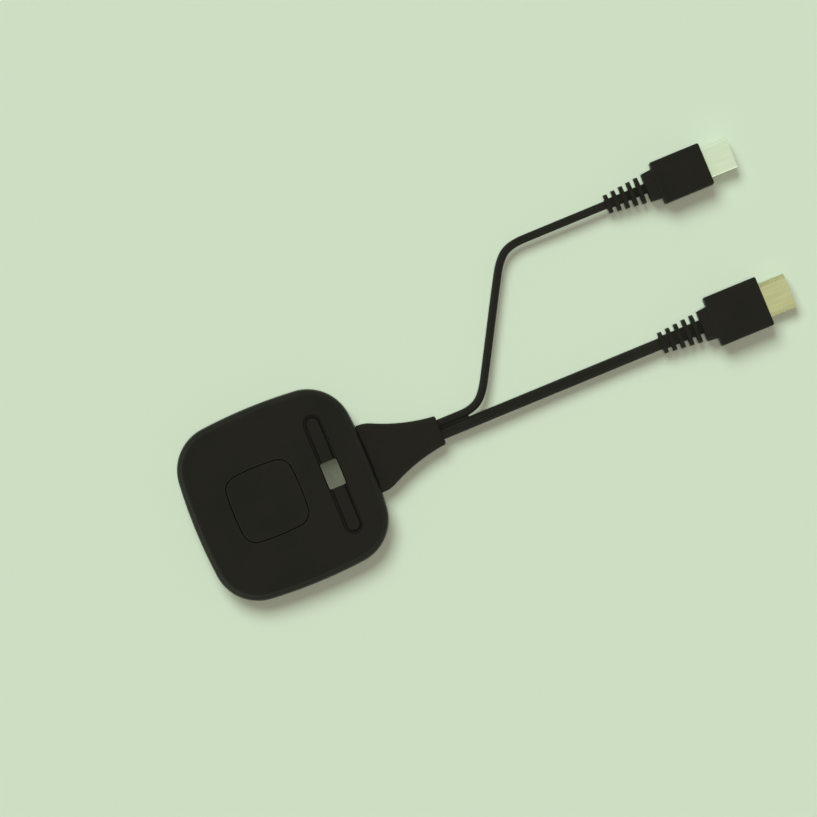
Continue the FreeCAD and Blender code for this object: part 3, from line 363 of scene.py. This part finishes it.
# Web: the thin jacket that joins the two cables side by side, from the boot to where they part.
# Its sizes are in millimetres. WEB_EDGES lie inside the two cables, where it is thickest.

WEB_START = 64.6
WEB_END = 78.3
WEB_ROUND = 1.6
WEB_EDGES = (0.35, 1.3)
WEB_MIDDLE = 6.2
WEB_ROOT_HALF = 0.65
WEB_WAIST_HALF = 0.45
WEB_TIP_SCALE = 0.05
WEB_STEPS = 24
WEB_SIDES = 8


def web_ring(along, scale):
    """One section of the web: waisted between the cables, as a list of points in metres."""
    low, high = WEB_EDGES
    upper = []
    for step in range(WEB_SIDES + 1):
        share = step / WEB_SIDES
        half = WEB_ROOT_HALF - (WEB_ROOT_HALF - WEB_WAIST_HALF) * math.sin(math.pi * share)
        upper.append(Vector((along, low + (high - low) * share, WEB_MIDDLE + half * scale)) * MM)
    lower = [Vector((point.x, point.y, WEB_MIDDLE * MM * 2 - point.z)) for point in reversed(upper)]
    return upper + lower


def make_web():
    """The web as one closed form: straight from the boot, and rounded off at its end."""
    points = web_ring(WEB_START, 1.0)
    count = len(points)
    for step in range(WEB_STEPS + 1):
        turn = math.pi / 2 * step / WEB_STEPS
        along = WEB_END - WEB_ROUND + WEB_ROUND * math.sin(turn)
        points += web_ring(along, max(math.cos(turn), WEB_TIP_SCALE))
    last = len(points) - count
    faces = []
    for start in range(0, last, count):
        for side in range(count):
            following = (side + 1) % count
            faces.append((start + side, start + following,
                          start + count + following, start + count + side))
    faces.append(tuple(reversed(range(count))))
    faces.append(tuple(range(last, last + count)))
    mesh = bpy.data.meshes.new("cable_web")
    mesh.from_pydata(points, [], faces)
    mesh.materials.append(cable_jacket)
    web = bpy.data.objects.new("cable_web", mesh)
    bpy.context.scene.collection.objects.link(web)
    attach(web, "dongle")
    return web


# Cables: each one a smooth line through its route, from the boot to its plug.
# The routes are in millimetres.

VIDEO_CABLE_RADIUS = 2.3 * MM
VIDEO_ROUTE = [
    (63.05, -1.65, 5.8), (78.55, -1.65, 5.8), (104.0, -1.65, 5.4), (131.0, -1.65, 5.1),
    (148.5, -1.65, 5.4), (160.7, -1.65, 5.4),
]
USB_CABLE_RADIUS = 1.6 * MM
USB_ROUTE = [
    (63.05, 2.6, 5.8), (70.55, 2.6, 5.8), (80.15, 2.6, 5.7), (86.0, 6.1, 5.5), (92.5, 17.4, 5.2),
    (106.3, 41.7, 4.8), (112.8, 52.7, 4.8), (118.8, 56.25, 4.8), (130.0, 56.25, 5.0),
    (147.75, 56.25, 5.4), (161.65, 56.25, 5.4),
]
CABLE_STEPS = 24
CABLE_SIDES = 8


def make_cable(name, route, radius):
    data = bpy.data.curves.new(name, "CURVE")
    data.dimensions = "3D"
    spline = data.splines.new("NURBS")
    spline.points.add(len(route) - 1)
    for point, place in zip(spline.points, route):
        point.co = (*(Vector(place) * MM), 1.0)
    spline.order_u = 3
    spline.use_endpoint_u = True
    spline.resolution_u = CABLE_STEPS
    data.bevel_depth = radius
    data.bevel_resolution = CABLE_SIDES
    data.use_fill_caps = True
    data.materials.append(cable_jacket)
    cable = bpy.data.objects.new(name, data)
    bpy.context.scene.collection.objects.link(cable)
    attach(cable, "dongle")
    return cable


web = make_web()
video_lead = make_cable("video_lead", VIDEO_ROUTE, VIDEO_CABLE_RADIUS)
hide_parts("video_cable")
usb_lead = make_cable("usb_lead", USB_ROUTE, USB_CABLE_RADIUS)
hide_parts("usb_cable")


# Floor and lamps: one lamp overhead, which leans a little away from the lamps' side,
# and a soft one on that side, the picture's upper left

BACKGROUND = linear(206, 222, 195)
FLOOR_HALF = 3.0
FLOOR_ROUGHNESS = 0.9
LIGHT_TURN = math.radians(30.0)
OVERHEAD = (0.32, 0.28, 0.28)
OVERHEAD_ANGLE = math.radians(8.0)
OVERHEAD_ELEVATION = math.radians(92.5)
KEY = (0.55, 0.62, 0.62)
KEY_ANGLE = math.radians(32.0)
KEY_ELEVATION = math.radians(55.5)


def make_floor():
    mesh = bpy.data.meshes.new("floor")
    corners = [(-FLOOR_HALF, -FLOOR_HALF, 0), (FLOOR_HALF, -FLOOR_HALF, 0),
               (FLOOR_HALF, FLOOR_HALF, 0), (-FLOOR_HALF, FLOOR_HALF, 0)]
    mesh.from_pydata(corners, [], [(0, 1, 2, 3)])
    floor = bpy.data.objects.new("floor", mesh)
    bpy.context.scene.collection.objects.link(floor)
    finish = Finish("floor_paper", FLOOR_ROUGHNESS, specular=0.0)
    finish.shader.inputs["Base Color"].default_value = BACKGROUND
    mesh.materials.append(finish.material)


def lamp_side():
    """The level direction that the soft lamp stands in: the picture's upper left."""
    turn = CAMERA_TURN - LIGHT_TURN
    return Vector((math.sin(turn), math.cos(turn), 0))


def make_lamp(name, colour, angle, elevation):
    """A distant lamp on the lamps' side. Alone, it gives a white floor its colour."""
    data = bpy.data.lights.new(name, "SUN")
    data.angle = angle
    strength = max(colour)
    data.color = [value / strength for value in colour]
    data.energy = strength * math.pi / math.sin(elevation)
    towards = lamp_side() * math.cos(elevation) + Vector((0, 0, 1)) * math.sin(elevation)
    lamp = bpy.data.objects.new(name, data)
    lamp.rotation_mode = "QUATERNION"
    lamp.rotation_quaternion = towards.to_track_quat("Z", "Y")
    lamp.visible_glossy = False
    bpy.context.scene.collection.objects.link(lamp)


make_floor()
make_lamp("overhead", OVERHEAD, OVERHEAD_ANGLE, OVERHEAD_ELEVATION)
make_lamp("key", KEY, KEY_ANGLE, KEY_ELEVATION)


# World: a little light from all round. Gloss sees the background's colour there, with a darker
# horizon, a ring of panels that is brightest beyond the puck's near left corner, and a low
# window beyond its left side. Heights are in degrees above the horizon.

FILL = (0.13, 0.10, 0.10, 1.0)
HORIZON_LEVEL = 0.5
HORIZON_TOP = 15
PANEL_FOOT = (8, 25)
PANEL_TOP = (38, 55)
PANEL_LEVELS = (0.3, 1.5)
PANEL_SIDE = Vector((-0.85, -0.5, 0))
ROOM_WINDOW_TOP = (12, 38)
ROOM_WINDOW_WIDTH = (0.3, 0.9)
ROOM_WINDOW_LEVEL = 1.15
ROOM_WINDOW_SIDE = Vector((-1, 0, 0))


class Room:
    """Builds the strength of what gloss sees in a direction."""

    def __init__(self, tree):
        self.tree = tree
        self.direction = tree.nodes.new("ShaderNodeTexCoord").outputs["Generated"]
        axes = tree.nodes.new("ShaderNodeSeparateXYZ")
        tree.links.new(self.direction, axes.inputs["Vector"])
        self.height = axes.outputs["Z"]

    def towards(self, side):
        """How far the direction points to this side."""
        dot = self.tree.nodes.new("ShaderNodeVectorMath")
        dot.operation = "DOT_PRODUCT"
        dot.inputs[1].default_value = side
        self.tree.links.new(self.direction, dot.inputs[0])
        return dot.outputs["Value"]

    def span(self, value, from_low, from_high, to_low=0.0, to_high=1.0, kind="SMOOTHSTEP"):
        span = self.tree.nodes.new("ShaderNodeMapRange")
        span.interpolation_type = kind
        span.inputs["From Min"].default_value = from_low
        span.inputs["From Max"].default_value = from_high
        span.inputs["To Min"].default_value = to_low
        span.inputs["To Max"].default_value = to_high
        self.tree.links.new(value, span.inputs["Value"])
        return span.outputs["Result"]

    def climb(self, start, end, *levels):
        """A value that changes between two heights, in degrees: from 0 to 1, or as given."""
        low, high = (math.sin(math.radians(degrees)) for degrees in (start, end))
        return self.span(self.height, low, high, *levels)

    def join(self, operation, first, *others):
        for other in others:
            step = self.tree.nodes.new("ShaderNodeMath")
            step.operation = operation
            self.tree.links.new(first, step.inputs[0])
            self.tree.links.new(other, step.inputs[1])
            first = step.outputs[0]
        return first

    def gloss_level(self):
        horizon = self.climb(0, HORIZON_TOP, HORIZON_LEVEL, 1.0)
        panels = self.join("MULTIPLY", self.climb(*reversed(PANEL_TOP)), self.climb(*PANEL_FOOT),
                           self.span(self.towards(PANEL_SIDE), -1.0, 1.0, *PANEL_LEVELS, "LINEAR"))
        window = self.join("MULTIPLY", self.climb(*reversed(ROOM_WINDOW_TOP)),
                           self.span(self.towards(ROOM_WINDOW_SIDE), *ROOM_WINDOW_WIDTH,
                                     0.0, ROOM_WINDOW_LEVEL))
        return self.join("ADD", horizon, panels, window)


def background(tree, colour):
    node = tree.nodes.new("ShaderNodeBackground")
    node.inputs["Color"].default_value = colour
    return node


def choose(tree, share, first, second):
    """The second shader where the share is 1, and the first where it is 0."""
    mix = tree.nodes.new("ShaderNodeMixShader")
    tree.links.new(share, mix.inputs["Fac"])
    tree.links.new(first.outputs[0], mix.inputs[1])
    tree.links.new(second.outputs[0], mix.inputs[2])
    return mix


def make_world():
    """Warm fill light. The camera sees the plain background, and gloss sees the room."""
    world = bpy.data.worlds.new("studio")
    bpy.context.scene.world = world
    world.use_nodes = True
    tree = world.node_tree
    fill = tree.nodes["Background"]
    fill.inputs["Color"].default_value = FILL
    glossy = background(tree, BACKGROUND)
    tree.links.new(Room(tree).gloss_level(), glossy.inputs["Strength"])
    rays = tree.nodes.new("ShaderNodeLightPath")
    lit = choose(tree, rays.outputs["Is Glossy Ray"], fill, glossy)
    seen = choose(tree, rays.outputs["Is Camera Ray"], lit, background(tree, BACKGROUND))
    tree.links.new(seen.outputs[0], tree.nodes["World Output"].inputs["Surface"])


make_world()
bpy.context.scene.view_settings.view_transform = "Standard"
